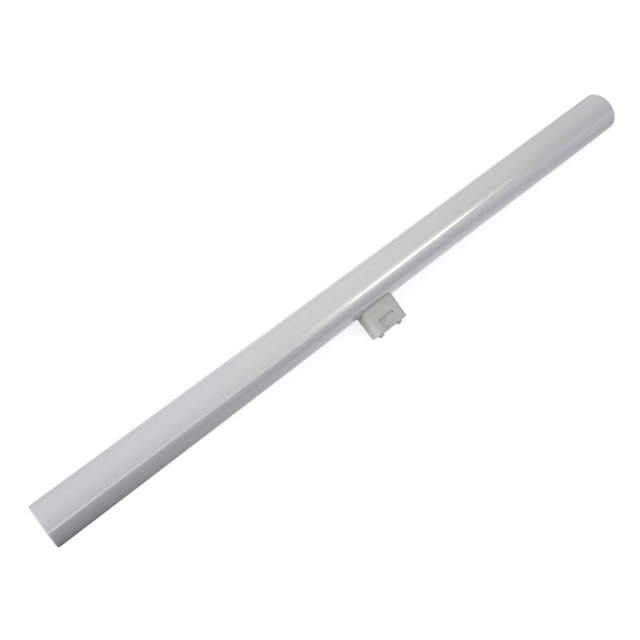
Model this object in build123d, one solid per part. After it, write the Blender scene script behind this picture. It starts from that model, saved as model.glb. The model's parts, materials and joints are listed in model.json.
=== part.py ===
"""Tubular light bulb: a sealed opal tube that seats on one moulded side cap with two contacts.

Each piece is modelled in lamp axes: the tube's axis is X, the cap points along -Y and its flanks
face +Z and -Z. The whole lamp is then laid down as it comes to rest on a table, on the tube's
side and on the cap's lower edge, with +Z up.
"""
import os
from math import asin, atan2, cos, degrees, hypot, radians, sin, sqrt, tan

from build123d import *

# Opal tube
tube_length = 500.0
tube_diameter = 30.0
tube_end_round = 2.0

# Cap housing: length and width are those of the rim on the tube, the drop is from the tube's
# underside to the end face
cap_length = 27.1
cap_width = 15.0
cap_drop = 17.4
cap_corner_round = 3.0
cap_draft = 0.7
cap_end_round = 0.8
cap_rim_round = 0.9

# Latch recess in each flank, where the lamp holder's spring snaps in: distances from the end face
notch_reach = 9.5
notch_floor_height = 1.5
notch_width = 13.4
notch_depth = 1.5
notch_corner_round = 2.5
notch_lip_round = 0.3
crest_height = 3.9
crest_depth = 0.35
lead_in_width = 11.0
lead_in_depth = 1.2

# Contacts: domed heads on the end face, with shanks pressed into the housing
contact_spacing = 16.4
contact_head_diameter = 4.4
contact_rim_height = 1.3
contact_dome_height = 0.7
contact_shank_diameter = 2.4
contact_shank_length = 6.0
contact_tip_clearance = 0.4

# Overrun of a cutting tool past the face that it opens
overrun = 2.0

tube_radius = tube_diameter / 2
cap_end = tube_radius + cap_drop
cap_rim = sqrt(tube_radius**2 - (cap_width / 2) ** 2)
draft_slope = tan(radians(cap_draft))


def flank(reach):
    """Half width of the drafted housing at a distance from the tube's axis."""
    return cap_width / 2 - (reach - cap_rim) * draft_slope


def make_opal_tube():
    """One closed tube: a half section with rounded end corners, turned about the lamp's axis."""
    half = tube_length / 2
    section = Polyline(
        (-half, 0),
        (-half, tube_radius),
        (half, tube_radius),
        (half, 0),
        close=True,
    )
    face = make_face(section)
    corners = face.vertices().group_by(Axis.Y)[-1]
    face = fillet(corners, tube_end_round)
    return revolve(face, Axis.X)


def make_latch_cutter():
    """Tool for the recess in the +Z flank: a notch under an arched lip, and a lead-in below it.

    The holder's spring rides up the lead-in from the end face, over the crest and into the notch.
    """
    outside = cap_width / 2 + overrun
    lip = cap_end - notch_reach
    floor_end = lip + notch_floor_height
    crest = cap_end - crest_height
    crest_face = flank(crest) - crest_depth
    notch_face = flank(lip) - notch_depth
    lead_face = flank(cap_end) - lead_in_depth

    notch_side = make_face(
        Polyline(
            (-lip, outside),
            (-lip, notch_face),
            (-floor_end, notch_face),
            (-crest, crest_face),
            (-crest, outside),
            close=True,
        )
    )
    notch = extrude(Plane.YZ * notch_side, notch_width / 2, both=True)
    arch_corners = notch.edges().filter_by(Axis.Z).group_by(Axis.Y)[-1]
    notch = fillet(arch_corners, notch_corner_round)

    lead_side = make_face(
        Polyline(
            (-crest, outside),
            (-crest, crest_face),
            (-cap_end, lead_face),
            (-cap_end - overrun, lead_face),
            (-cap_end - overrun, outside),
            close=True,
        )
    )
    lead_in = extrude(Plane.YZ * lead_side, lead_in_width / 2, both=True)
    return notch + lead_in


def borders_notch(edge):
    """Whether an edge of a flank runs along the notch, above the crest."""
    middle = edge.center()
    inside = abs(middle.X) < notch_width / 2 + notch_lip_round
    return inside and cap_end - notch_reach - notch_lip_round < -middle.Y < cap_end - crest_height


def make_cap_housing():
    """Drafted block with a saddle for the tube, a latch recess in each flank and two shank holes."""
    start = cap_rim - overrun
    growth = overrun * draft_slope
    outline = RectangleRounded(
        cap_length + 2 * growth,
        cap_width + 2 * growth,
        cap_corner_round + growth,
    )
    seat = Plane(origin=(0, -start, 0), x_dir=(1, 0, 0), z_dir=(0, -1, 0))
    block = extrude(seat * outline, cap_end - start, taper=cap_draft)
    block = fillet(block.faces().sort_by(Axis.Y)[0].edges(), cap_end_round)

    saddle = Cylinder(tube_radius, cap_length + 2 * overrun, rotation=(0, 90, 0))
    block -= saddle
    rim = block.faces().filter_by(GeomType.CYLINDER).sort_by(SortBy.AREA)[-1].edges()
    block = fillet(rim, cap_rim_round)

    latch = make_latch_cutter()
    block -= latch
    block -= mirror(latch, Plane.XY)
    flanks = block.faces().filter_by(GeomType.PLANE).sort_by(SortBy.AREA)[-2:]
    lips = flanks.edges().filter_by(borders_notch)
    block = fillet(lips, notch_lip_round)

    hole_depth = contact_shank_length + contact_tip_clearance
    hole = Cylinder(
        contact_shank_diameter / 2,
        hole_depth,
        rotation=(90, 0, 0),
    )
    for side in (-1, 1):
        block -= Pos(side * contact_spacing / 2, hole_depth / 2 - cap_end, 0) * hole
    return block


def make_contact(side):
    """Turned contact: a shank in the housing and a head whose shoulder seats on the end face."""
    shank_radius = contact_shank_diameter / 2
    head_radius = contact_head_diameter / 2
    shoulder = -cap_end
    rim = shoulder - contact_rim_height
    tip = rim - contact_dome_height
    dome_radius = (head_radius**2 + contact_dome_height**2) / (2 * contact_dome_height)
    half_arc = asin(head_radius / dome_radius) / 2
    dome_middle = (dome_radius * sin(half_arc), tip + dome_radius * (1 - cos(half_arc)))

    sides = Polyline(
        (0, tip),
        (0, shoulder + contact_shank_length),
        (shank_radius, shoulder + contact_shank_length),
        (shank_radius, shoulder),
        (head_radius, shoulder),
        (head_radius, rim),
    )
    dome = ThreePointArc((head_radius, rim), dome_middle, (0, tip))
    pin = revolve(make_face([*sides.edges(), dome]), Axis.Y)
    return Pos(side * contact_spacing / 2, 0, 0) * pin


def lay_angle():
    """Tilt about X, in degrees, that brings the cap's lower edge down to the tube's table."""
    edge_reach = cap_end - cap_end_round
    edge_half = flank(edge_reach) - cap_end_round / cos(radians(cap_draft))
    arm = hypot(edge_reach, edge_half)
    return degrees(asin((tube_radius - cap_end_round) / arm) - atan2(edge_half, edge_reach))


pieces = {
    "opal_tube": make_opal_tube(),
    "cap_housing": make_cap_housing(),
    "contact_pin_left": make_contact(-1),
    "contact_pin_right": make_contact(1),
}

# Lay the lamp down on the table, with the middle of its footprint at the origin
tilt = lay_angle()
lay = Pos(0, 0, tube_radius) * Rot(tilt, 0, 0)
footprint = Compound([lay * piece for piece in pieces.values()]).bounding_box().center()
lay = Pos(-footprint.X, -footprint.Y, 0) * lay

os.makedirs("parts", exist_ok=True)
for name, piece in pieces.items():
    export_step(lay * piece, f"parts/{name}.step")

print(f"lay angle {tilt:.4f} degrees, tube axis at Y {-footprint.Y:.4f}, Z {tube_radius:.4f}")
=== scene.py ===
# %% [markdown]
# A tubular light bulb, dressed in Blender. The lamp is a closed opal tube, half a metre long, that
# carries one small moulded cap at its middle, and two contacts stand on the end face of that cap.
# It lies on a table, on the side of the tube and on one edge of the cap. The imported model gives
# the real sizes and places, so every piece below is measured from it and then made finer.

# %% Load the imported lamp
import json
from math import atan2, degrees, pi, radians, sqrt, tan

import bmesh
import bpy
from mathutils import Matrix, Quaternion, Vector


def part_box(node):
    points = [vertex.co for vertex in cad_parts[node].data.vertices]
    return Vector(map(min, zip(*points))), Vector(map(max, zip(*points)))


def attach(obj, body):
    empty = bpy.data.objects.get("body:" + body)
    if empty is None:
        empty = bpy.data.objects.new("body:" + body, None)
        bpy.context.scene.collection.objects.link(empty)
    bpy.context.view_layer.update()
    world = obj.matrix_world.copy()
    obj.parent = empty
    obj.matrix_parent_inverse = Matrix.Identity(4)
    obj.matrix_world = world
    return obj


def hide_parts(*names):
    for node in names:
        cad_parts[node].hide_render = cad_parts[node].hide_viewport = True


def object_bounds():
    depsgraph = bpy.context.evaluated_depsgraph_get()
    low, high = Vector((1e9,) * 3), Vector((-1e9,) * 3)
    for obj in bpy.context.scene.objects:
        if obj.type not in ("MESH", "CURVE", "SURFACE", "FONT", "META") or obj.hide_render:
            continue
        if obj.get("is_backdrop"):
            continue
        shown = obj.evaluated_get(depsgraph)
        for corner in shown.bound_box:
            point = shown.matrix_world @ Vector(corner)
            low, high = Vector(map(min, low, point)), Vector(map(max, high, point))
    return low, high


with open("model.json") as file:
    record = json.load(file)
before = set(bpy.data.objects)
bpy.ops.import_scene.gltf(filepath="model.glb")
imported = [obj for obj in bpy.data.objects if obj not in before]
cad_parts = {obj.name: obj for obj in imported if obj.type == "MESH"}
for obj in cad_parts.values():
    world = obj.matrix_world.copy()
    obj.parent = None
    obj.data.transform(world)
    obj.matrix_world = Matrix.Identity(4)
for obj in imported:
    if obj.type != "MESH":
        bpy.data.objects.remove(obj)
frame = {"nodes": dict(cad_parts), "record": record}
cad_low, cad_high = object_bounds()
scene = bpy.context.scene
scene.view_settings.view_transform = "Standard"
bpy.ops.object.select_all(action="DESELECT")
print("packed nodes:", ", ".join(sorted(frame["nodes"])))

# %% [markdown]
# Before modelling, find the lamp's own axes. The tube runs along X. The cap points away from the
# tube, and the record gives that direction as the axis of a contact. With the tube's middle and
# that one direction, a piece can be modelled square to the axes, where sizes are easy to read: the
# cap points along -Y and its two flanks face up and down. At the end everything is laid down
# together by one matrix.

# %% Measure the lamp
mm = 0.001
tube_low, tube_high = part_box("opal_tube")
tube_middle = (tube_low + tube_high) / 2
tube_radius = (tube_high.z - tube_low.z) / 2
tube_length = tube_high.x - tube_low.x
mounts = {mount["name"]: mount for mount in frame["record"]["mounts"]}
cap_direction = Vector(mounts["contact_left"]["axis"])
lay_angle = atan2(-cap_direction.z, -cap_direction.y)
lay = Matrix.Translation(tube_middle) @ Matrix.Rotation(lay_angle, 4, "X")
print(f"tube {tube_length / mm:.1f} by {2 * tube_radius / mm:.2f} mm")
print(f"lamp laid at {degrees(lay_angle):.2f} degrees")

# %% [markdown]
# A few small helpers stand in for the mouse. One opens a piece for editing with nothing selected,
# one picks vertices, edges or faces by a test on their place or direction, and one closes the
# edit. Faces could be picked by their numbers, but the numbers change with the mesh, and a test on
# place still finds the right ones. Two values serve these tests: how near is near enough, and how
# squarely a face must look along an axis to count as facing that way.

# %% Helpers for editing
nearly = 0.01 * mm
facing = 0.9


def choose(piece):
    """Selects one piece alone and makes it the active one."""
    bpy.ops.object.select_all(action="DESELECT")
    piece.select_set(True)
    bpy.context.view_layer.objects.active = piece


def keep_place():
    """Puts the place, turn and scale of the selected piece into its mesh."""
    bpy.ops.object.transform_apply(location=True, rotation=True, scale=True)


def start_edit(piece, kind):
    """Opens a piece in edit mode with nothing selected, ready to pick VERT, EDGE or FACE."""
    choose(piece)
    bpy.ops.object.mode_set(mode="EDIT")
    bpy.ops.mesh.select_mode(type=kind)
    bpy.ops.mesh.select_all(action="DESELECT")


def pick(piece, kind, test):
    """Selects what passes the test and returns how many there are."""
    form = bmesh.from_edit_mesh(piece.data)
    form.normal_update()
    parts = {"VERT": form.verts, "EDGE": form.edges, "FACE": form.faces}[kind]
    chosen = [part for part in parts if test(part)]
    for part in chosen:
        part.select_set(True)
    form.select_flush_mode()
    bmesh.update_edit_mesh(piece.data)
    return len(chosen)


def end_edit():
    """Closes edit mode."""
    bpy.ops.object.mode_set(mode="OBJECT")


def tell(piece):
    """Prints a piece's size and how many faces it has."""
    size = " by ".join(f"{side / mm:.2f}" for side in piece.dimensions)
    print(f"{piece.name} measures {size} mm and has {len(piece.data.polygons)} faces")


print(f"vertices within {nearly / mm:.2f} mm count as being in one place")

# %% [markdown]
# The opal tube is one closed form with plain ends and a small rounding at each rim. A profile
# could be spun for it, but a cylinder needs fewer steps: add it at its size, bevel the two rims
# and inset the ends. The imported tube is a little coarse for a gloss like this, because each flat
# facet breaks the mirror image of a lamp. So this one has many more sides, and it is cut into
# rings, so that no face is as long as the tube.

# %% Block out the opal tube
tube_sides = 192
tube_rings = 60
along_x = (0, radians(90), 0)


def add_cylinder(name, sides, radius, length, middle, turn):
    """A cylinder added at its size and place, with its place in its mesh."""
    bpy.ops.object.select_all(action="DESELECT")
    bpy.ops.mesh.primitive_cylinder_add(
        vertices=sides,
        radius=radius,
        depth=length,
        location=middle,
        rotation=turn,
    )
    keep_place()
    cylinder = bpy.context.object
    cylinder.name = cylinder.data.name = name
    return cylinder


def runs_along(edge):
    """Whether an edge of the tube runs from end to end."""
    return abs(edge.verts[0].co.x - edge.verts[1].co.x) > tube_length / 2


tube = add_cylinder("tube_opal", tube_sides, tube_radius, tube_length, (0, 0, 0), along_x)
start_edit(tube, "EDGE")
pick(tube, "EDGE", runs_along)
bpy.ops.mesh.subdivide(number_cuts=tube_rings)
end_edit()
tell(tube)

# %% [markdown]
# The rim of each end is rounded by a little over a millimetre, as on a tube whose end is closed by
# a pressed or melted disc. A bevel modifier could do it, but that goes by angle, and the operator
# takes just the edges that are picked. The flat end is then inset in rings and its middle is
# closed to a point, so that it has small even faces in place of one face with many corners, which
# shades badly.

# %% Round the rims and close the ends
tube_end_round = 1.2 * mm
tube_end_steps = 8
tube_end_rings = 4
tube_ring_step = (tube_radius - tube_end_round) / (tube_end_rings + 1)
quarter_circle = 0.5


def round_off(size, steps, **options):
    """Rounds the picked edges to a quarter circle, in a number of steps."""
    bpy.ops.mesh.bevel(
        offset=size,
        segments=steps,
        profile=quarter_circle,
        affect="EDGES",
        **options,
    )


def is_rim(edge):
    """Whether an edge of the tube lies in one of its two end planes."""
    return all(abs(abs(vertex.co.x) - tube_length / 2) < nearly for vertex in edge.verts)


def is_end(face):
    """Whether a face is one of the two large flat ends of the tube."""
    return abs(face.normal.x) > facing and face.calc_area() > tube_radius**2


start_edit(tube, "EDGE")
rim_edges = pick(tube, "EDGE", is_rim)
round_off(tube_end_round, tube_end_steps)
end_edit()

start_edit(tube, "FACE")
pick(tube, "FACE", is_end)
for ring in range(tube_end_rings):
    bpy.ops.mesh.inset(thickness=tube_ring_step)
bpy.ops.mesh.poke()
end_edit()
print(f"{rim_edges} rim edges rounded")
tell(tube)

# %% [markdown]
# The cap is one plastic moulding. It is a block with round corners that gets slightly narrower
# towards its end face, because a moulding needs that draft to leave its mould. An outline could be
# extruded for it, but a cube can be added straight between corners that are measured on the packed
# cap. Its four upright edges are then bevelled, and its end face is scaled down a little. The top
# of the block starts inside the tube, and the next step brings it down to its seat.

# %% Block out the cap
cap_corner_round = 3.0 * mm
cap_corner_steps = 8
cap_draft = tan(radians(0.7))
cap_top_share = 0.8


def extent(node):
    """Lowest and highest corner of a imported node, in the lamp's own axes."""
    points = [lay.inverted() @ vertex.co for vertex in frame["nodes"][node].data.vertices]
    return Vector(map(min, zip(*points))), Vector(map(max, zip(*points)))


def add_block(name, low, high):
    """A cube added between two corners, with its place in its mesh."""
    low, high = Vector(low), Vector(high)
    bpy.ops.object.select_all(action="DESELECT")
    bpy.ops.mesh.primitive_cube_add(size=1, location=(low + high) / 2, scale=high - low)
    keep_place()
    block = bpy.context.object
    block.name = block.data.name = name
    return block


cap_low, cap_high = extent("cap_housing")
cap_half_length, cap_half_width, cap_end = cap_high.x, cap_high.z, cap_low.y
cap_top = -cap_top_share * tube_radius
cap = add_block(
    "cap_moulding",
    (-cap_half_length, cap_end, -cap_half_width),
    (cap_half_length, cap_top, cap_half_width),
)
start_edit(cap, "EDGE")
pick(cap, "EDGE", lambda edge: abs(edge.verts[0].co.y - edge.verts[1].co.y) > nearly)
round_off(cap_corner_round, cap_corner_steps)
end_edit()

start_edit(cap, "VERT")
pick(cap, "VERT", lambda vertex: abs(vertex.co.y - cap_end) < nearly)
taper = (cap_top - cap_end) * cap_draft
bpy.ops.transform.resize(
    value=(1 - taper / cap_half_length, 1, 1 - taper / cap_half_width),
    center_override=(0, cap_end, 0),
)
end_edit()
tell(cap)

# %% [markdown]
# The cap sits on the tube as a saddle sits on a horse: its top is hollow and follows the round of
# the tube. A boolean cut would do it, but it leaves ragged corners that bevel badly. Here the
# block is sliced into strips by bisect planes, and a shrinkwrap modifier then pushes only the top
# vertices down onto the tube, so the strips bend to its curve and the mesh stays clean.

# %% Seat the cap on the tube
cuts_each_side = 3
saddle_reach = 4.5 * mm

start_edit(cap, "VERT")
for step in range(-cuts_each_side, cuts_each_side + 1):
    bpy.ops.mesh.select_all(action="SELECT")
    height = saddle_reach * step / cuts_each_side
    bpy.ops.mesh.bisect(plane_co=(0, 0, height), plane_no=(0, 0, 1))
bpy.ops.mesh.select_all(action="DESELECT")
top_vertices = pick(cap, "VERT", lambda vertex: abs(vertex.co.y - cap_top) < nearly)
bpy.ops.object.vertex_group_add()
bpy.ops.object.vertex_group_assign()
end_edit()

wrap = cap.modifiers.new("saddle", "SHRINKWRAP")
wrap.target = tube
wrap.wrap_method = "PROJECT"
wrap.use_project_y = True
wrap.use_positive_direction = False
wrap.use_negative_direction = True
wrap.vertex_group = cap.vertex_groups[0].name
bpy.ops.object.modifier_apply(modifier=wrap.name)
cap.vertex_groups.clear()
print(f"{top_vertices} vertices of the cap moved onto the tube")

# %% [markdown]
# A moulding has no sharp outer edge. The rim on the tube is rounded, so a thin dark seam shows
# between the two pieces, and so is the edge of the end face. One bevel modifier would give both
# the same size, so they are picked and bevelled one after the other. The edges are found by their
# faces: one face of such an edge looks towards the tube, or away from it, and the other doesn't.
# The strips of the saddle lean, so for them it is enough to look half towards the tube.

# %% Round the rim and the end of the cap
cap_rim_width = 0.5 * mm
cap_end_round = 0.8 * mm
cap_round_steps = 4
saddle_facing = 0.5


def borders(edge, test):
    """Whether just one of the two faces of an edge passes the test."""
    return [test(face) for face in edge.link_faces].count(True) == 1


def is_saddle(face):
    """Whether a face of the cap lies against the tube."""
    return face.normal.y > saddle_facing


def is_end_face(face):
    """Whether a face looks away from the tube."""
    return face.normal.y < -facing


start_edit(cap, "EDGE")
seam_edges = pick(cap, "EDGE", lambda edge: borders(edge, is_saddle))
round_off(cap_rim_width, cap_round_steps, offset_type="WIDTH")
bpy.ops.mesh.select_all(action="DESELECT")
end_edges = pick(cap, "EDGE", lambda edge: borders(edge, is_end_face))
round_off(cap_end_round, cap_round_steps)
end_edit()
print(f"{seam_edges} edges rounded at the rim, {end_edges} at the end face")

# %% [markdown]
# Each flank has a recess for the spring of the lamp holder. The spring rides up a sloping lead-in
# from the end face, passes over a low crest and snaps into a deeper notch under an arched lip.
# Insets could push the recess into the flank, but the lead-in runs out through the rounded edge of
# the end face, so it is cut with two tools. The first is a block whose floor is bent by a bisect
# and a move, so that it climbs to the crest, with two round corners under the lip.

# %% Make the tool for the notch
notch_reach = 9.5 * mm
notch_floor = 1.5 * mm
notch_half_width = 6.7 * mm
notch_depth = 1.5 * mm
notch_corner_round = 2.5 * mm
crest_reach = 3.9 * mm
crest_depth = 0.35 * mm
past_the_face = 2.0 * mm


def flank(reach):
    """Half width of the drafted cap at a distance from its end face."""
    return cap_half_width - (cap_top - cap_end - reach) * cap_draft


lip_y = cap_end + notch_reach
crest_y = cap_end + crest_reach
notch_z = flank(notch_reach) - notch_depth
crest_z = flank(crest_reach) - crest_depth
outside_z = cap_half_width + past_the_face


def lift(tool, test, height):
    """Moves the vertices of a tool that pass the test, along Z."""
    start_edit(tool, "VERT")
    pick(tool, "VERT", test)
    bpy.ops.transform.translate(value=(0, 0, height))
    end_edit()


def is_lip_corner(edge):
    """Whether an edge of the notch tool is an upright one under the lip."""
    upright = abs(edge.verts[0].co.z - edge.verts[1].co.z) > nearly
    return upright and all(vertex.co.y > lip_y - nearly for vertex in edge.verts)


def make_notch_tool():
    """The tool for the notch in the upper flank."""
    tool = add_block(
        "notch_tool",
        (-notch_half_width, crest_y, notch_z),
        (notch_half_width, lip_y, outside_z),
    )
    start_edit(tool, "EDGE")
    bpy.ops.mesh.select_all(action="SELECT")
    bpy.ops.mesh.bisect(plane_co=(0, lip_y - notch_floor, 0), plane_no=(0, 1, 0))
    end_edit()
    lift(
        tool,
        lambda vertex: vertex.co.y < crest_y + nearly and vertex.co.z < notch_z + nearly,
        crest_z - notch_z,
    )
    start_edit(tool, "EDGE")
    pick(tool, "EDGE", is_lip_corner)
    round_off(notch_corner_round, cap_corner_steps)
    end_edit()
    return tool


print(f"notch floor {notch_z / mm:.2f} mm from the middle, crest {crest_z / mm:.2f} mm")

# %% [markdown]
# The second tool opens the lead-in. It could be one with the first, but two plain blocks are
# easier to get right than one with a step. Its floor slopes down to the end face. It starts a
# little inside the notch and runs out past the end, so that no face of the tool lies on a face of
# the cap, where a boolean has to guess.

# %% Make the tool for the lead-in
lead_half_width = 5.5 * mm
lead_depth = 1.2 * mm
lead_overlap = 0.5 * mm
lead_slope = (flank(0) - lead_depth - crest_z) / crest_reach
lead_start = crest_y + lead_overlap
lead_stop = cap_end - past_the_face


def make_lead_tool():
    """The tool for the lead-in in the upper flank."""
    tool = add_block(
        "lead_tool",
        (-lead_half_width, lead_stop, crest_z),
        (lead_half_width, lead_start, outside_z),
    )
    for end in (lead_start, lead_stop):
        lift(
            tool,
            lambda vertex: abs(vertex.co.y - end) < nearly and vertex.co.z < crest_z + nearly,
            lead_slope * (crest_y - end),
        )
    return tool


print(f"lead-in drops {-lead_slope * crest_reach / mm:.2f} mm from the crest to the end face")

# %% [markdown]
# The same two tools cut both flanks. For the lower flank each tool is turned by half a turn about
# the axis that the cap points along, which keeps it right side out, where a mirror would turn it
# inside out.

# %% Cut the recesses
def cut(piece, tool):
    """Takes the tool's volume out of a piece and deletes the tool."""
    bpy.context.view_layer.objects.active = piece
    modifier = piece.modifiers.new("cut", "BOOLEAN")
    modifier.operation = "DIFFERENCE"
    modifier.solver = "EXACT"
    modifier.object = tool
    bpy.ops.object.modifier_apply(modifier=modifier.name)
    bpy.data.objects.remove(tool)


for turn in (0, 180):
    for make_tool in (make_notch_tool, make_lead_tool):
        tool = make_tool()
        tool.rotation_euler = (0, radians(turn), 0)
        keep_place()
        cut(cap, tool)
tell(cap)

# %% [markdown]
# The cut edges are softened like the rest of the moulding. A bevel that goes by angle alone would
# also fill the inner corners. So an edge is taken by its place in the recess and by the signed
# angle between its faces, which tells an edge that stands out from a hollow one. This gives the
# fine light line along the lip and the crest.

# %% Soften the edges of the recesses
lip_round = 0.25 * mm
lip_steps = 3
lip_angle = radians(20)


def is_lip(edge):
    """Whether an edge belongs to a recess, stands out and is sharp."""
    middle = (edge.verts[0].co + edge.verts[1].co) / 2
    inside = abs(middle.x) < notch_half_width + nearly and middle.y < lip_y + nearly
    above_floor = abs(middle.z) > notch_z + nearly
    return inside and above_floor and edge.calc_face_angle_signed() > lip_angle


start_edit(cap, "EDGE")
lip_edges = pick(cap, "EDGE", is_lip)
round_off(lip_round, lip_steps, clamp_overlap=True)
end_edit()
print(f"{lip_edges} edges of the recesses softened")

# %% [markdown]
# The two contacts are pressed into holes in the end face, at places that the record gives. The
# holes could be left out, since the heads cover them, but then the shanks would cut through the
# cap. Vertices that the cuts and bevels left on one spot are merged, so that no face is without
# area. Smooth shading is limited by angle, and a weighted normal modifier lets the large flat
# flanks stay flat while the small bevels take up the turn.

# %% Drill the contact holes and shade the cap
contact_x = abs(mounts["contact_left"]["pos_m"][0])
shank_radius = 1.2 * mm
shank_length = 6.0 * mm
hole_clearance = 0.4 * mm
hole_depth = shank_length + hole_clearance
hole_sides = 48
one_spot = 0.002 * mm
crease_angle = radians(35)
along_y = (radians(90), 0, 0)


def smooth(piece, angle):
    """Smooth shading that keeps edges sharper than the angle and lets large faces stay flat."""
    choose(piece)
    bpy.ops.object.shade_smooth_by_angle(angle=angle)
    modifier = piece.modifiers.new("flat faces", "WEIGHTED_NORMAL")
    modifier.keep_sharp = True
    bpy.ops.object.modifier_apply(modifier=modifier.name)


drill_length = hole_depth + past_the_face
for side in (-1, 1):
    hole_middle = (side * contact_x, cap_end + (hole_depth - past_the_face) / 2, 0)
    drill = add_cylinder("drill", hole_sides, shank_radius, drill_length, hole_middle, along_y)
    cut(cap, drill)
start_edit(cap, "VERT")
bpy.ops.mesh.select_all(action="SELECT")
bpy.ops.mesh.remove_doubles(threshold=one_spot)
end_edit()
smooth(cap, crease_angle)
smooth(tube, crease_angle)
tell(cap)

# %% [markdown]
# A contact is a small turned stud: a shank in the hole, and a head with a low dome that stands on
# the end face and touches a spring in the holder. A profile could be spun for it, but an inset
# makes a whole ring in one step and leaves no seam. The head starts as a short cylinder. Its inner
# face is inset to the shank and extruded. Its outer face is inset ring by ring, and each ring is
# moved out along a circle, which raises the dome.

# %% Turn a contact
head_sides = 64
head_size = mounts["contact_left"]["dims"]
head_radius = head_size["r_mm"] * mm
head_rim_height = head_size["length_mm"] * mm
dome_height = 0.7 * mm
dome_rings = 8
dome_step = head_radius / (dome_rings + 1)
dome_radius = (head_radius**2 + dome_height**2) / (2 * dome_height)


def dome_rise(radius):
    """Height of the dome over its rim at a distance from the stud's axis."""
    return sqrt(dome_radius**2 - radius**2) - dome_radius + dome_height


contact = add_cylinder(
    "contact_left",
    head_sides,
    head_radius,
    head_rim_height,
    (-contact_x, cap_end - head_rim_height / 2, 0),
    along_y,
)
start_edit(contact, "FACE")
pick(contact, "FACE", lambda face: face.normal.y > facing)
bpy.ops.mesh.inset(thickness=head_radius - shank_radius)
bpy.ops.mesh.extrude_region_move(TRANSFORM_OT_translate={"value": (0, shank_length, 0)})
bpy.ops.mesh.select_all(action="DESELECT")
pick(contact, "FACE", is_end_face)
for ring in range(dome_rings):
    outer = head_radius - ring * dome_step
    bpy.ops.mesh.inset(thickness=dome_step)
    rise = dome_rise(outer - dome_step) - dome_rise(outer)
    bpy.ops.transform.translate(value=(0, -rise, 0))
bpy.ops.mesh.poke(offset=dome_height - dome_rise(dome_step))
end_edit()
tell(contact)

# %% [markdown]
# The rim of the head is broken by a small round, as a lathe hand would do with a file. The
# finished stud is then copied from the left to the right. A linked copy would share one mesh with
# the first, so this one gets a mesh of its own, and its place can be kept in it.

# %% Break the rim and copy the contact
head_rim_round = 0.18 * mm
contact_crease_angle = radians(30)


def is_wall(face):
    """Whether a face of the stud runs along its axis."""
    return abs(face.normal.y) < 1 - facing


def is_head_rim(edge):
    """Whether an edge of the stud lies between the wall of its head and the dome."""
    rim_y = cap_end - head_rim_height
    return borders(edge, is_wall) and all(abs(v.co.y - rim_y) < nearly for v in edge.verts)


start_edit(contact, "EDGE")
head_edges = pick(contact, "EDGE", is_head_rim)
round_off(head_rim_round, cap_round_steps)
end_edit()
smooth(contact, contact_crease_angle)

bpy.ops.object.duplicate(linked=False)
right_contact = bpy.context.object
right_contact.name = right_contact.data.name = "contact_right"
right_contact.location.x = 2 * contact_x
keep_place()
print(f"{head_edges} edges rounded on the head")
tell(contact)
tell(right_contact)

# %% [markdown]
# All pieces now stand square to the lamp's own axes, so one matrix takes them to the table. The
# objects could be turned and left so, but the export puts every object back at the origin, and a
# pattern on a piece would slide. So the turn goes into the meshes, and every object is left at the
# origin, unturned.

# %% Lay the lamp down
pieces = (tube, cap, contact, right_contact)
for piece in pieces:
    choose(piece)
    piece.matrix_world = lay @ piece.matrix_world
    keep_place()
    lowest = min(vertex.co.z for vertex in piece.data.vertices)
    print(f"{piece.name} comes down to {lowest / mm:.3f} mm over the table")

# %% [markdown]
# The camera comes next, because every judgement after this is made through it. A normal lens looks
# steeply down on the lamp from a little over half a metre and is rolled, so that the tube crosses
# the picture from corner to corner. A constraint could aim it, but here the turn is worked out
# once, from the place and the point looked at. These and the roll were found from the outline of
# the tube, its two ends and the cap.

# %% Set up the camera
camera_place = Vector((-233.5, -119.5, 540.65)) * mm
camera_target = Vector((-37.0, 9.33, 15.0)) * mm
camera_roll = radians(17.53)
camera_lens, camera_film = 48.94, 36.0
camera_nearest = 10 * mm


def aim(place, target, roll):
    """The turn that points a camera or a lamp at its target, with a roll."""
    towards = (Vector(target) - Vector(place)).to_track_quat("-Z", "Y")
    return towards @ Quaternion((0, 0, 1), roll)


camera_data = bpy.data.cameras.new("camera")
camera_data.lens = camera_lens
camera_data.sensor_width = camera_film
camera_data.clip_start = camera_nearest
camera = bpy.data.objects.new("camera", camera_data)
scene.collection.objects.link(camera)
camera.location = camera_place
camera.rotation_mode = "QUATERNION"
camera.rotation_quaternion = aim(camera_place, camera_target, camera_roll)
scene.camera = camera
print(f"camera {(camera_target - camera_place).length:.3f} m from its target")

# %% [markdown]
# The finishes are built from nodes. Pictures could be wrapped on the pieces, but a pattern in
# space needs no seam and doesn't stretch. A few helpers keep the nodes readable. A node is added
# with its inputs set by name, and an input that is given another node's output is linked to it. A
# noise is a soft random pattern. A ramp turns a pattern into colours by a list of stops, and a
# ramp of greys serves where a shader wants a number.

# %% Helpers for finishes
def add_node(tree, kind, inputs=None, **settings):
    """Adds a node with its settings, and sets or links its inputs."""
    node = tree.nodes.new(kind)
    for name, value in settings.items():
        setattr(node, name, value)
    for name, value in (inputs or {}).items():
        if isinstance(value, bpy.types.NodeSocket):
            tree.links.new(value, node.inputs[name])
        else:
            node.inputs[name].default_value = value
    return node


def new_finish(name):
    """A new material, its node tree, its Principled shader and its Object coordinates."""
    finish = bpy.data.materials.new(name)
    finish.use_nodes = True
    tree = finish.node_tree
    coordinates = add_node(tree, "ShaderNodeTexCoord").outputs["Object"]
    return finish, tree, tree.nodes["Principled BSDF"], coordinates


def add_noise(tree, place, scale, detail):
    """A noise over a place, from nought to one."""
    inputs = {"Vector": place, "Scale": scale, "Detail": detail}
    return add_node(tree, "ShaderNodeTexNoise", inputs).outputs["Fac"]


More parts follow.
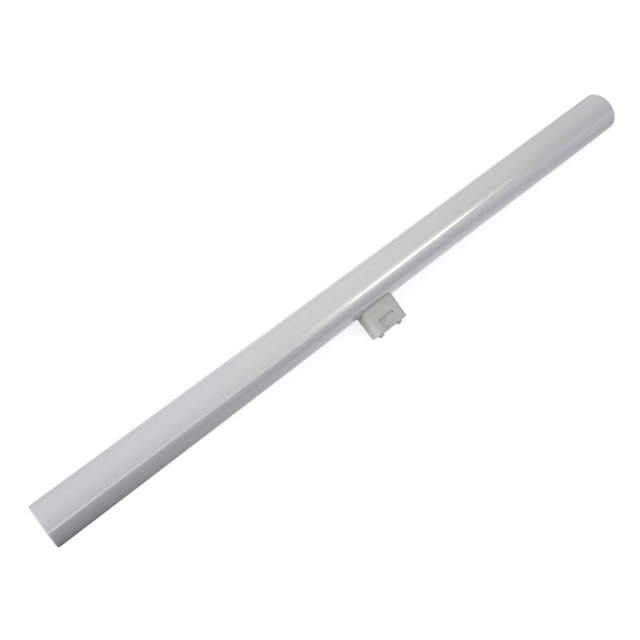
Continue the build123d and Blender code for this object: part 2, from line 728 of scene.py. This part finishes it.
def add_ramp(tree, source, stops):
    """A colour ramp over a source, with a list of positions and colours."""
    node = add_node(tree, "ShaderNodeValToRGB", {"Fac": source})
    elements = node.color_ramp.elements
    elements.remove(elements[1])
    elements[0].position = stops[0][0]
    elements[0].color = (*stops[0][1], 1)
    for position, colour in stops[1:]:
        elements.new(position).color = (*colour, 1)
    return node.outputs["Color"]


def grey(level):
    """A grey of a level."""
    return (level, level, level)


print("waiting for a finish:", ", ".join(piece.name for piece in pieces))

# %% [markdown]
# The tube is a milky plastic or glass with a hard gloss. Light enters it and comes back evenly, so
# it has a plain diffuse base, a little cooler where the milk is thin. Real subsurface light would
# cost much time for a look that the base already has. Over it lies a clear coat, which gives the
# second, sharper mirror image. A tube is drawn, so fine lines run along it: they are too weak to
# see as lines, and only make the gloss a little uneven.

# %% Finish for the opal tube
thin_milk, thick_milk = (0.427, 0.430, 0.435), (0.441, 0.442, 0.441)
opal_smooth, opal_rough = grey(0.10), grey(0.15)
milk_scale = 14.0
drawn_scale = (12.0, 420.0, 420.0)
noise_low, noise_high = 0.3, 0.7

opal, tree, shader, coordinates = new_finish("opal_gloss")
clouds = add_noise(tree, coordinates, milk_scale, detail=2.0)
milk = add_ramp(tree, clouds, [(noise_low, thin_milk), (noise_high, thick_milk)])
drawn = add_node(tree, "ShaderNodeMapping", {"Vector": coordinates, "Scale": drawn_scale})
lines = add_noise(tree, drawn.outputs[0], scale=1.0, detail=3.0)
gloss = add_ramp(tree, lines, [(noise_low, opal_smooth), (noise_high, opal_rough)])
tree.links.new(milk, shader.inputs["Base Color"])
tree.links.new(gloss, shader.inputs["Roughness"])
shader.inputs["IOR"].default_value = 1.585
shader.inputs["Specular IOR Level"].default_value = 0.98
shader.inputs["Coat Weight"].default_value = 1.0
shader.inputs["Coat Roughness"].default_value = 0.06
shader.inputs["Coat IOR"].default_value = 1.5
print("finish", opal.name, "with", len(tree.nodes), "nodes")

# %% [markdown]
# The cap is moulded in a satin plastic of a warm light grey. The steel of such a mould is eroded
# by sparks, which leaves a fine even grain, and the plastic copies it. A fine noise as a bump
# gives that grain at its real depth of about a hundredth of a millimetre, the same noise makes the
# gloss uneven, and a broad noise shifts the colour a little, as the melt does where it cools
# unevenly. To model such a grain in the mesh would take far too many faces.

# %% Finish for the cap
dark_melt, light_melt = (0.390, 0.393, 0.351), (0.414, 0.417, 0.375)
satin_smooth, satin_rough = grey(0.40), grey(0.52)
melt_scale, grain_scale = 90.0, 3600.0
grain_depth, grain_strength = 0.01 * mm, 0.5

satin, tree, shader, coordinates = new_finish("satin_plastic")
melt = add_noise(tree, coordinates, melt_scale, detail=3.0)
tint = add_ramp(tree, melt, [(noise_low, dark_melt), (noise_high, light_melt)])
grain = add_noise(tree, coordinates, grain_scale, detail=2.0)
sheen = add_ramp(tree, grain, [(noise_low, satin_smooth), (noise_high, satin_rough)])
relief = {"Height": grain, "Strength": grain_strength, "Distance": grain_depth}
bump = add_node(tree, "ShaderNodeBump", relief)
tree.links.new(tint, shader.inputs["Base Color"])
tree.links.new(sheen, shader.inputs["Roughness"])
tree.links.new(bump.outputs["Normal"], shader.inputs["Normal"])
shader.inputs["IOR"].default_value = 1.49
print("finish", satin.name, "with", len(tree.nodes), "nodes")

# %% [markdown]
# The contacts are turned from brass and plated with nickel. A lathe leaves fine rings around the
# axis of each stud, and plating rounds them but doesn't hide them. A Wave texture could draw
# rings, but around one axis only. To draw them on both studs with one finish, the coordinates are
# taken back to the lamp's own axes, the sideways one is made positive, and the distance from the
# stud's axis drives a wave. A broad noise adds faint tarnish.

# %% Finish for the contacts
dark_plate, light_plate = (0.30, 0.292, 0.268), (0.37, 0.362, 0.336)
plate_rough, plate_smooth = grey(0.38), grey(0.24)
tarnish_scale = 700.0
tarnish_low, tarnish_high = 0.35, 0.65
ring_pitch, ring_depth, ring_strength = 0.16 * mm, 0.003 * mm, 0.4


def add_math(tree, operation, *values):
    """The result of one step of arithmetic on values or outputs."""
    inputs = dict(enumerate(values))
    return add_node(tree, "ShaderNodeMath", inputs, operation=operation).outputs[0]


nickel, tree, shader, coordinates = new_finish("nickel_plate")
square = add_node(
    tree,
    "ShaderNodeMapping",
    {"Vector": coordinates, "Location": tube_middle, "Rotation": (lay_angle, 0, 0)},
    vector_type="TEXTURE",
)
axes = add_node(tree, "ShaderNodeSeparateXYZ", {"Vector": square.outputs[0]}).outputs
sideways = add_math(tree, "SUBTRACT", add_math(tree, "ABSOLUTE", axes["X"]), contact_x)
across = add_node(tree, "ShaderNodeCombineXYZ", {"X": sideways, "Z": axes["Z"]})
distance = add_node(tree, "ShaderNodeVectorMath", {0: across.outputs[0]}, operation="LENGTH")
phase = add_math(tree, "MULTIPLY", distance.outputs["Value"], 2 * pi / ring_pitch)
rings = add_math(tree, "SINE", phase)
relief = {"Height": rings, "Strength": ring_strength, "Distance": ring_depth}
turned = add_node(tree, "ShaderNodeBump", relief)
tarnish = add_noise(tree, coordinates, tarnish_scale, detail=3.0)
plate = add_ramp(tree, tarnish, [(tarnish_low, dark_plate), (tarnish_high, light_plate)])
dull = add_ramp(tree, tarnish, [(tarnish_low, plate_rough), (tarnish_high, plate_smooth)])
tree.links.new(plate, shader.inputs["Base Color"])
tree.links.new(dull, shader.inputs["Roughness"])
tree.links.new(turned.outputs["Normal"], shader.inputs["Normal"])
shader.inputs["Metallic"].default_value = 1.0
print("finish", nickel.name, "with", len(tree.nodes), "nodes")

# %% [markdown]
# Each piece is now handed over: it gets its finish, it rides on the one body that the lamp is, and
# the imported node that it stands for is hidden, so that the plain node is left out of the
# picture.

# %% Hand the pieces over
def dress(piece, node, finish):
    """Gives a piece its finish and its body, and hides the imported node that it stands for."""
    piece.data.materials.append(finish)
    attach(piece, "root")
    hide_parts(node)
    print(f"{piece.name} stands for {node}")


dress(tube, "opal_tube", opal)
dress(cap, "cap_housing", satin)
dress(contact, "contact_pin_left", nickel)
dress(right_contact, "contact_pin_right", nickel)

# %% [markdown]
# The lamp lies on a plain white floor. A floor that is lit up to white would throw so much light
# back that the underside of the tube would lose its form. So the floor's own colour is only pale.
# In front of the near end a studio would keep the light off it with a screen. A screen would show
# from other sides, so its shade is painted into the paper there: the paper's own colour is dark,
# and the underside of the tube is darker with it.

# %% Lay the floor
floor_size = 8.0
paper_colour = (0.283, 0.293, 0.315, 1)
painted_shade_colour = (0.01, 0.01, 0.01, 1)
shade_start, shade_stop = -0.22, -0.04


def add_slope(tree, value, start, stop, first=0.0, last=1.0):
    """A number that goes from the first to the last while a value goes from start to stop."""
    inputs = {"Value": value, "From Min": start, "From Max": stop, "To Min": first, "To Max": last}
    return add_node(tree, "ShaderNodeMapRange", inputs).outputs["Result"]


def add_blend(tree, share, first, second):
    """The first colour where the share is nought, the second where it is one."""
    # A Mix node has sockets for several kinds of data, and these are the ones for colour
    inputs = {0: share, 6: first, 7: second}
    return add_node(tree, "ShaderNodeMix", inputs, data_type="RGBA").outputs[2]


bpy.ops.object.select_all(action="DESELECT")
bpy.ops.mesh.primitive_plane_add(size=floor_size, location=(0, 0, cad_low.z))
floor = bpy.context.object
floor.name = floor.data.name = "floor"
floor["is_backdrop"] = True
paper, tree, shader, coordinates = new_finish("pale_floor")
floor.data.materials.append(paper)
shader.inputs["Roughness"].default_value = 0.9
shader.inputs["Specular IOR Level"].default_value = 0.0
axes = add_node(tree, "ShaderNodeSeparateXYZ", {"Vector": coordinates}).outputs
behind = add_slope(tree, axes["Y"], 0.0, 2 * tube_radius)
along = add_slope(tree, axes["X"], shade_start, shade_stop)
lit = add_math(tree, "MAXIMUM", behind, along)
# Painted shade: the paper's colour goes dark in front of the near end, where a screen's shade
# would fall.
shaded = add_blend(tree, lit, painted_shade_colour, paper_colour)
tree.links.new(shaded, shader.inputs["Base Color"])
print(f"floor at {cad_low.z / mm:.3f} mm")

# %% [markdown]
# A glow that only the camera sees lifts the floor to white, and more so where the paper is dark.
# It doesn't light the lamp, and the shadow of the lamp stays on it. The glow is a touch warm,
# because the paper is cool and its shadow would look blue. In the mirror images the paper has a
# glow of its own: one pool of light around the cap, one behind the tube, and an even glow past the
# far end and far behind. Each is a slope between two numbers, and the brightest one counts.

# %% Let the paper glow
warm_white = (1, 0.994, 0.978, 1)
lit_glow, shade_glow, dim_glow = 0.80, 1.03, 0.05
pool_centre, pool_core, pool_rim, pool_glow = (0.05, -0.02, 0), 0.03, 0.32, 0.90
back_centre, back_core, back_rim, back_glow = (-0.02, 0.075, 0), 0.05, 0.36, 0.78
far_start, far_stop, far_glow = 0.20, 0.45, 0.60
rear_start, rear_stop, rear_glow = 0.10, 0.30, 0.65


def add_pool(tree, place, centre, core, rim, glow):
    """A round pool of light on the paper that fades from its core to its rim."""
    away = add_node(tree, "ShaderNodeVectorMath", {0: place, 1: centre}, operation="DISTANCE")
    return add_slope(tree, away.outputs["Value"], core, rim, glow, dim_glow)


def add_seen(tree):
    """One where the camera looks, straight or through something clear, and nought elsewhere."""
    path = add_node(tree, "ShaderNodeLightPath").outputs
    return add_math(tree, "MAXIMUM", path["Is Camera Ray"], path["Is Transmission Ray"])


pool = add_pool(tree, coordinates, pool_centre, pool_core, pool_rim, pool_glow)
back = add_pool(tree, coordinates, back_centre, back_core, back_rim, back_glow)
back = add_math(tree, "MULTIPLY", back, behind)
far = add_slope(tree, axes["X"], far_start, far_stop, dim_glow, far_glow)
rear = add_slope(tree, axes["Y"], rear_start, rear_stop, dim_glow, rear_glow)
mirrored = pool
for patch in (back, far, rear):
    mirrored = add_math(tree, "MAXIMUM", mirrored, patch)
in_mirrors = add_node(tree, "ShaderNodeLightPath").outputs["Is Glossy Ray"]
to_white = add_slope(tree, lit, 0.0, 1.0, shade_glow, lit_glow)
glow = add_math(tree, "MULTIPLY", add_seen(tree), to_white)
glow = add_math(tree, "MULTIPLY_ADD", in_mirrors, mirrored, glow)
shader.inputs["Emission Color"].default_value = warm_white
tree.links.new(glow, shader.inputs["Emission Strength"])
print("finish", paper.name, "with", len(tree.nodes), "nodes")

# %% [markdown]
# The studio is a tent of white cloth. A glossy tube shows its surroundings as long bands, so the
# tent is what makes the tube look round. The cloth is an arch along the tube: its brightness is a
# list of stops, from the floor behind the lamp, over the top, to the floor in front. In front it
# ends at a straight bright edge, which is the sharp line along the tube, and below that edge the
# room is dark. Towards the far end the cloth is dimmer and the room is a little blue, so there are
# three such arches, and each takes over from the one before it within a range of direction.

# %% Choose the arches of the tent
near_arch = [
    (0.0, (0.84, 0.86, 0.98)),
    (0.25, (0.95, 0.96, 1.11)),
    (0.42, (0.93, 0.94, 1.09)),
    (0.60, (0.84, 0.84, 0.99)),
    (0.735, (0.84, 0.84, 0.99)),
    (0.755, (1.90, 1.88, 2.02)),
    (0.788, (1.90, 1.88, 2.02)),
    (0.803, (0.20, 0.18, 0.23)),
    (0.86, (0.02, 0.02, 0.03)),
]
middle_arch = [
    (0.0, (1.20, 1.20, 1.05)),
    (0.5, (1.41, 1.41, 1.21)),
    (0.7, (1.54, 1.53, 1.38)),
    (0.787, (1.85, 1.84, 1.75)),
    (0.803, (0.72, 0.72, 0.82)),
    (0.90, (0.60, 0.61, 0.74)),
    (1.0, (0.48, 0.49, 0.60)),
]
far_arch = [
    (0.0, (0.63, 0.62, 0.57)),
    (0.3, (0.52, 0.51, 0.45)),
    (0.5, (0.32, 0.31, 0.27)),
    (0.72, (0.28, 0.28, 0.26)),
    (0.8, (0.80, 0.85, 1.00)),
    (0.93, (0.74, 0.81, 1.06)),
    (1.0, (0.54, 0.60, 0.82)),
]
middle_range, far_range = (0.0, 0.33), (0.40, 0.66)
for name, arch in (("near", near_arch), ("middle", middle_arch), ("far", far_arch)):
    brightest = max(max(colour) for position, colour in arch)
    print(f"{name} arch with {len(arch)} stops, up to {brightest:.2f}")

# %% [markdown]
# The tent could be a mesh with a glowing material, but then it would stand in the picture from
# other sides. Drawn into the world it is endlessly far away and has no thickness. The angle around
# the tube, from nought at the floor behind to one at the floor in front, picks the place on each
# arch, and the direction along the tube blends the three. Where the camera looks past the edge of
# the floor it sees plain white.

# %% Draw the tent into the world
white = (1, 1, 1, 1)

world = bpy.data.worlds.new("studio")
scene.world = world
world.use_nodes = True
tree = world.node_tree
direction = add_node(tree, "ShaderNodeTexCoord").outputs["Generated"]
axes = add_node(tree, "ShaderNodeSeparateXYZ", {"Vector": direction}).outputs
forward = add_math(tree, "MULTIPLY", axes["Y"], -1.0)
angle = add_math(tree, "ARCTAN2", forward, axes["Z"])
around = add_math(tree, "MULTIPLY_ADD", angle, 1 / pi, 0.5)
tent = add_ramp(tree, around, near_arch)
for (start, stop), arch in ((middle_range, middle_arch), (far_range, far_arch)):
    along = add_slope(tree, axes["X"], start, stop)
    tent = add_blend(tree, along, tent, add_ramp(tree, around, arch))
backdrop = add_blend(tree, add_seen(tree), tent, white)
tree.links.new(backdrop, tree.nodes["Background"].inputs["Color"])
print("world", world.name, "with", len(tree.nodes), "nodes")

# %% [markdown]
# The bright streak on the tube beside the cap is the mirror image of a lamp. It could be drawn
# into the tent too, but a lamp at a real distance keeps its image in the right place when the view
# moves. An oval softbox hangs in front of the tube, and a larger and weaker one around it is its
# soft skirt. Each is given as a brightness per area, so that its size can change without changing
# how bright its mirror image is.

# %% Hang the softbox and its skirt
streak_target = (0.04, 0.01, 0.03)
streak_roll = radians(-12.4)


def add_softbox(name, shape, size, brightness, colour, place, target, roll):
    """An area lamp that faces its target and is as bright per area as stated."""
    light = bpy.data.lights.new(name, "AREA")
    light.shape = shape
    light.size, light.size_y = size
    area = size[0] * size[1] * (pi / 4 if shape == "ELLIPSE" else 1)
    light.energy = brightness * pi * area
    light.color = colour
    lamp = bpy.data.objects.new(name, light)
    scene.collection.objects.link(lamp)
    lamp.location = place
    lamp.rotation_mode = "QUATERNION"
    lamp.rotation_quaternion = aim(place, target, roll)
    print(f"{name} gives {light.energy:.3f} W")
    return lamp


add_softbox(
    "streak",
    shape="ELLIPSE",
    size=(0.26, 0.12),
    brightness=3.6,
    colour=(1, 1, 1),
    place=(0.355, -0.318, 0.56),
    target=streak_target,
    roll=streak_roll,
)
add_softbox(
    "skirt",
    shape="ELLIPSE",
    size=(0.42, 0.30),
    brightness=0.9,
    colour=(1, 1, 0.97),
    place=(0.355, -0.272, 0.585),
    target=streak_target,
    roll=streak_roll,
)

# %% [markdown]
# The tent leaves the narrow left face of the cap dark. The tent could be made brighter on that
# side, but then its bands on the tube would change too. So a panel hangs far off, past the near
# end of the tube, and is kept out of the mirror images.

# %% Hang the side panel
panel = add_softbox(
    "side_panel",
    shape="RECTANGLE",
    size=(0.9, 0.5),
    brightness=42.5,
    colour=(1, 0.99, 0.92),
    place=(-2.42, 0.33, 0.45),
    target=(0, 0, 0.01),
    roll=0.0,
)
panel.visible_glossy = False

# %% [markdown]
# Last, the outer size is measured again. The dressed lamp is meant to fill the same box as the
# packed one, so both boxes are printed side by side.

# %% Print the sizes
new_low, new_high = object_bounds()
sizes = {"cad": [list(cad_low), list(cad_high)], "visual": [list(new_low), list(new_high)]}
for name, (low, high) in sizes.items():
    print(name, [f"{(b - a) / mm:.3f}" for a, b in zip(low, high)], "mm")
